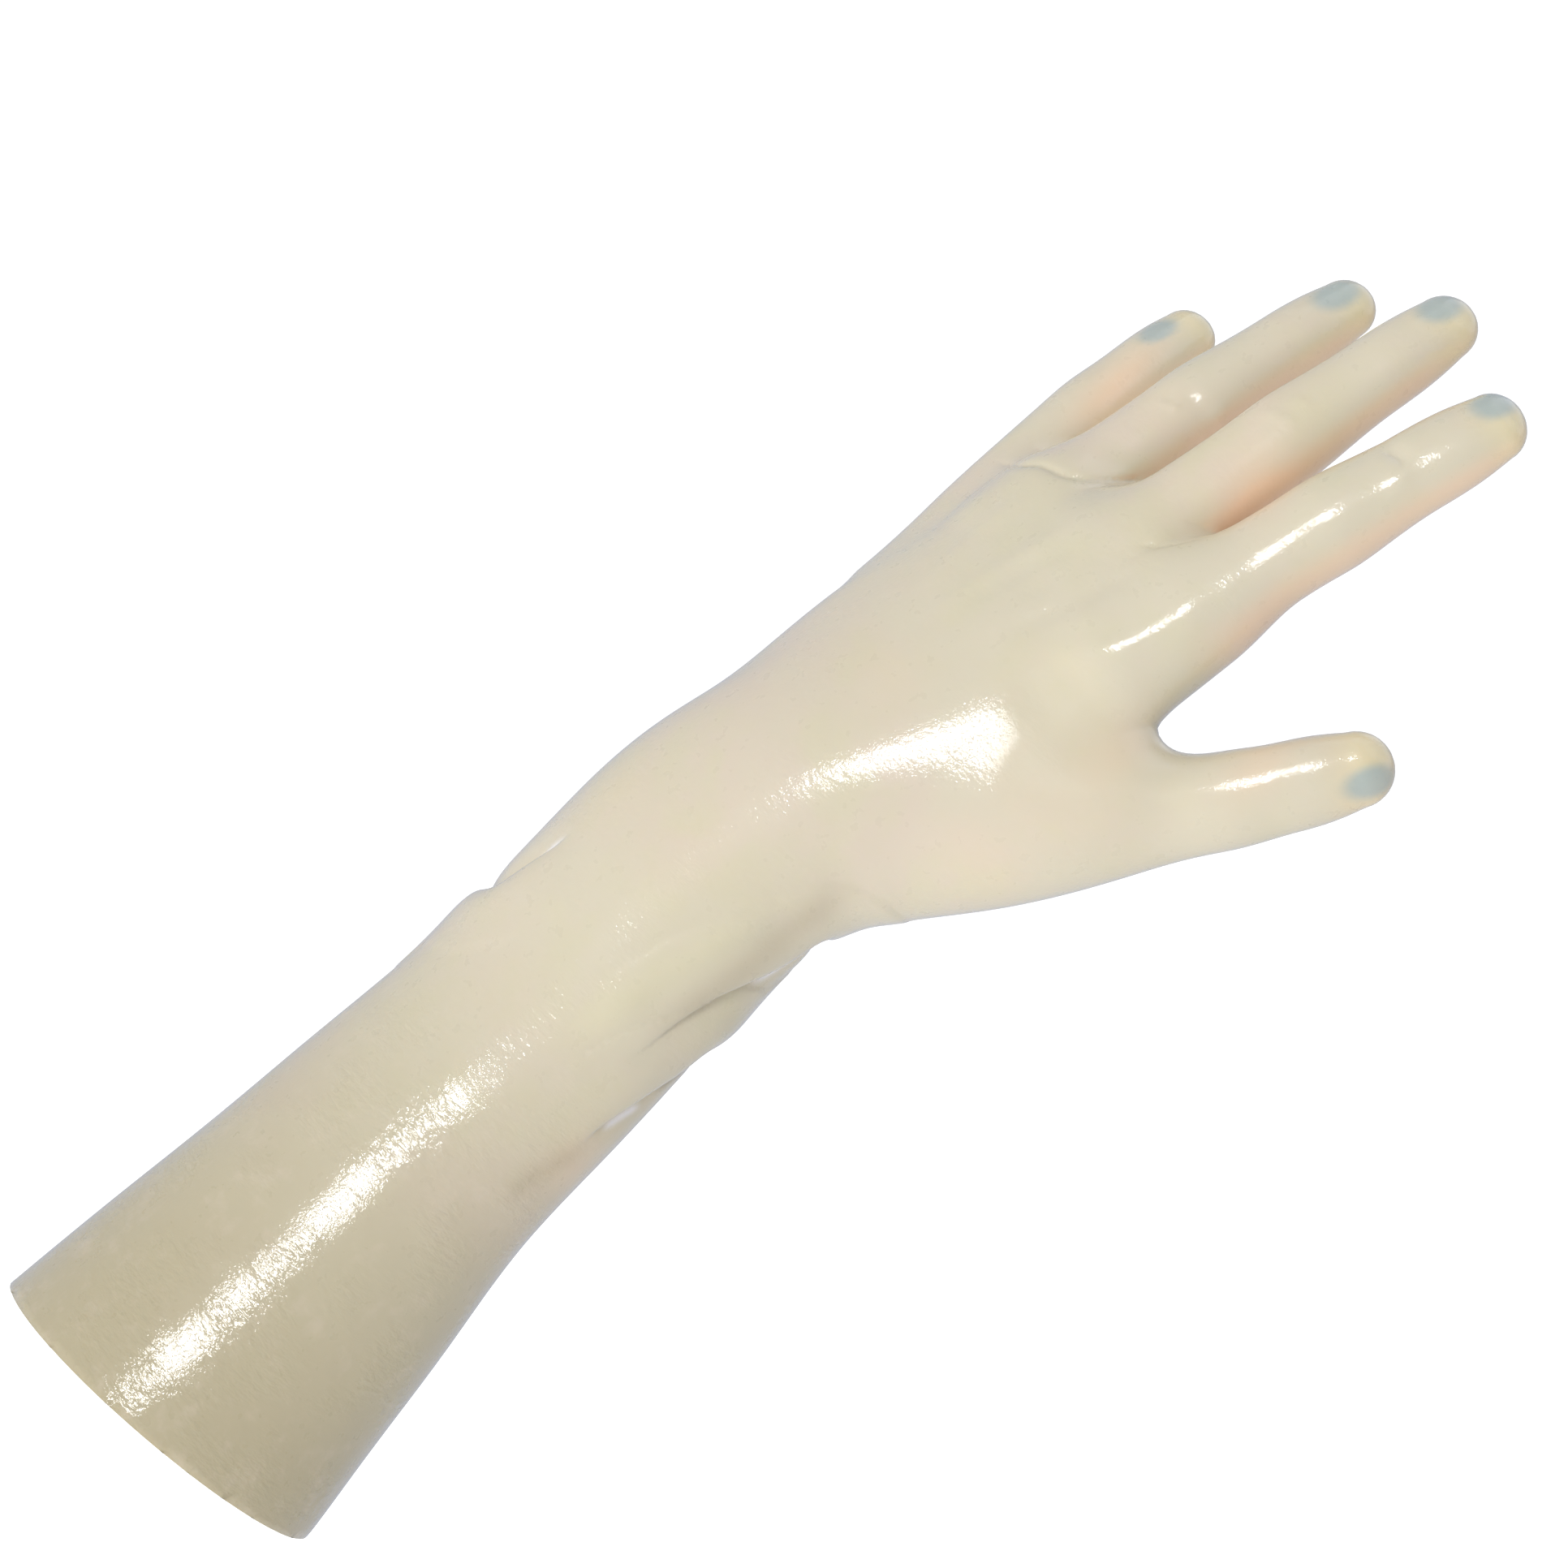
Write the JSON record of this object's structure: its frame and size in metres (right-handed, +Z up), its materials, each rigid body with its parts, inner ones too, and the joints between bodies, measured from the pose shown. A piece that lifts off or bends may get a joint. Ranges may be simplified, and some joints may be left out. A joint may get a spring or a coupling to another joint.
{
  "type": "rubber glove",
  "caption": "Long pale latex glove for the left hand, held in its worn form with an open cuff, wrist folds and spread fingers.",
  "frame": {"origin": "centre of the cuff's open mouth", "axes": "+Z up the forearm to the fingertips, +X to the thumb's side, +Y to the palm's side, so the back of the hand faces -Y"},
  "size_m": [0.134, 0.0779, 0.3585],
  "materials": {
    "latex": "glossy"
  },
  "bodies": {
    "root": {"glove": "latex"}
  },
  "joints": []
}
